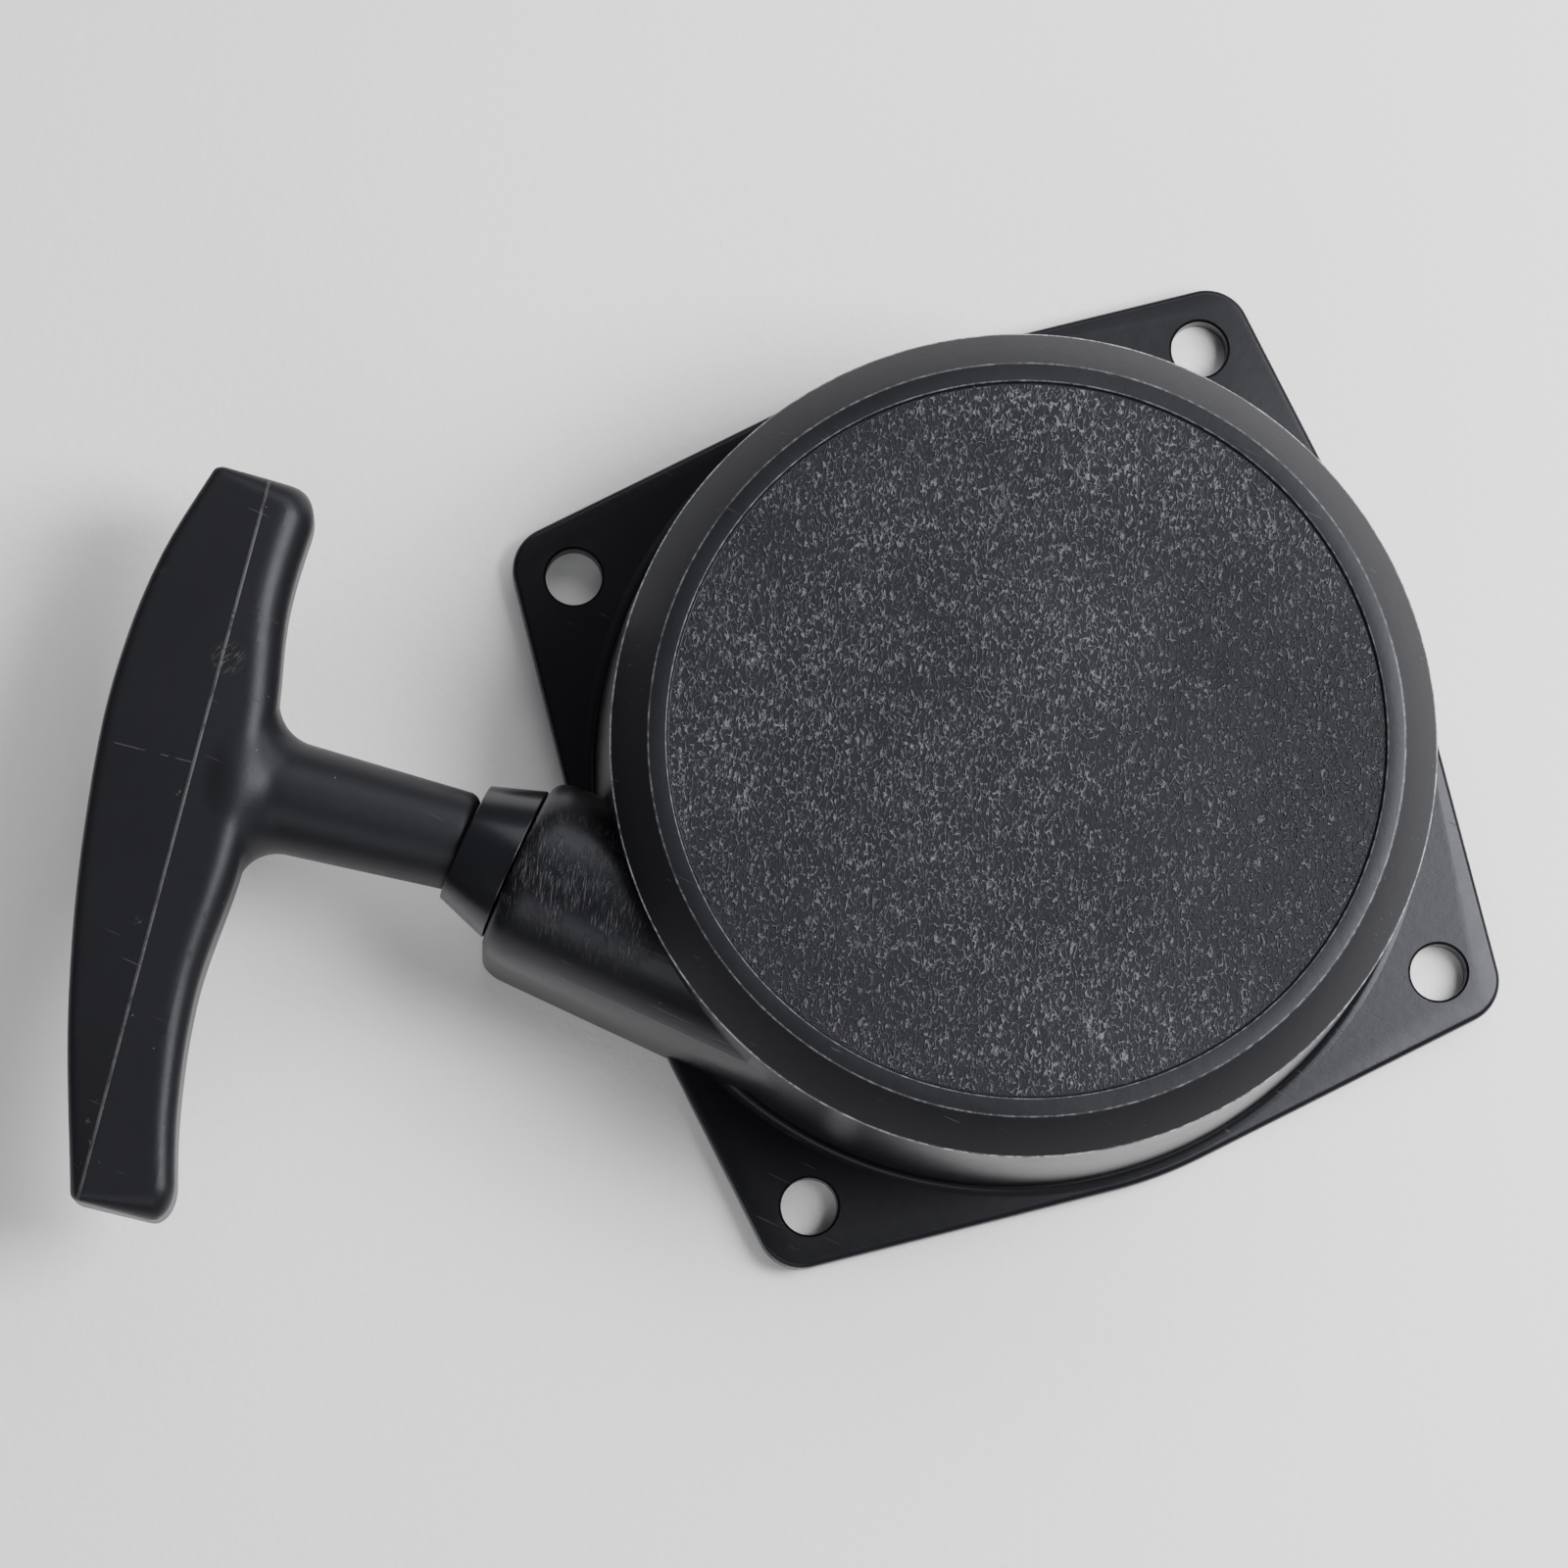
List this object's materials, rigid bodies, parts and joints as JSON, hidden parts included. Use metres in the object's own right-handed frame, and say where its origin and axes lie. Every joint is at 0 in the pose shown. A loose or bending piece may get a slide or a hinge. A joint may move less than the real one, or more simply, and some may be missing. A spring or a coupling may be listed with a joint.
{
  "type": "recoil starter",
  "caption": "Small-engine recoil starter: round cover on a square drilled flange, side rope outlet with a bush, T-handle, and a sprung rope reel with swing-out pawls.",
  "frame": {"origin": "under the middle of the whole starter's box, on the plane of the flange's engine face; the reel axis stands at x 18.44 mm, y 14.65 mm", "axes": "+Z from the engine towards the cover's grained face; the rope outlet faces -X; the flange's four screw holes lie along +X, +Y, -X and -Y from the reel axis"},
  "size_m": [0.1682, 0.1606, 0.04],
  "materials": {
    "housing_plastic": "moulded black nylon, semi-gloss, grained badge face",
    "bush_plastic": "smooth glossy black",
    "handle_plastic": "moulded black, satin, with a parting line",
    "reel_nylon": "natural nylon",
    "zinc_steel": "zinc plated",
    "pawl_steel": "hardened and blued, tumbled edges",
    "sheet_steel": "pressed sheet, zinc plated",
    "spring_steel": "tempered blue-grey",
    "brass": "turned",
    "rope": "braided polyester, grey flecks"
  },
  "bodies": {
    "root": {"housing": "housing_plastic", "rope_guide_bush": "bush_plastic", "post_insert": "brass", "centre_screw": "zinc_steel", "screw_washer": "zinc_steel", "friction_spring": "spring_steel", "spring_case": "sheet_steel", "main_spring": "spring_steel", "starter_rope": "rope"},
    "handle": {"handle_grip": "handle_plastic", "handle_washer": "zinc_steel", "handle_knot": "rope"},
    "reel": {"reel": "reel_nylon", "reel_bush": "brass", "rope_coil": "rope", "reel_knot": "rope", "pawl_pin_a": "zinc_steel", "pawl_pin_b": "zinc_steel", "pawl_spring_a": "spring_steel", "pawl_spring_b": "spring_steel"},
    "pawl_a": {"pawl_a": "pawl_steel"},
    "pawl_b": {"pawl_b": "pawl_steel"},
    "guide_plate": {"pawl_guide_plate": "sheet_steel"}
  },
  "joints": [
    {"name": "handle_pull", "type": "slide", "parent": "root", "child": "handle", "axis": [-0.9842, -0.1771, 0], "range_m": [0, 0.72], "stiffness_N_per_m": 14, "springref_m": -0.6, "deforming": ["starter_rope"]},
    {"name": "reel_spin", "type": "hinge", "parent": "root", "child": "reel", "pos_m": [0.01844, 0.01465, 0.021], "axis": [0, 0, -1], "range_deg": [0, 1165], "deforming": ["main_spring", "rope_coil"]},
    {"name": "pawl_a_swing", "type": "hinge", "parent": "reel", "child": "pawl_a", "pos_m": [0.03544, 0.01465, 0.0113], "axis": [0, 0, 1], "range_deg": [0, 32], "stiffness_Nm_per_rad": 0.01, "springref_deg": -17.19, "deforming": ["pawl_spring_a"]},
    {"name": "pawl_b_swing", "type": "hinge", "parent": "reel", "child": "pawl_b", "pos_m": [0.00144, 0.01465, 0.0113], "axis": [0, 0, 1], "range_deg": [0, 32], "deforming": ["pawl_spring_b"]},
    {"name": "guide_plate_turn", "type": "hinge", "parent": "reel", "child": "guide_plate", "pos_m": [0.01844, 0.01465, 0.0061], "axis": [0, 0, 1], "range_deg": [0, 24]}
  ],
  "couplings": [
    {"joint": "reel_spin", "follows": "handle_pull", "rad_per_m": 28.2},
    {"joint": "pawl_b_swing", "follows": "pawl_a_swing", "ratio": 1},
    {"joint": "guide_plate_turn", "follows": "pawl_a_swing", "ratio": 0.75}
  ]
}
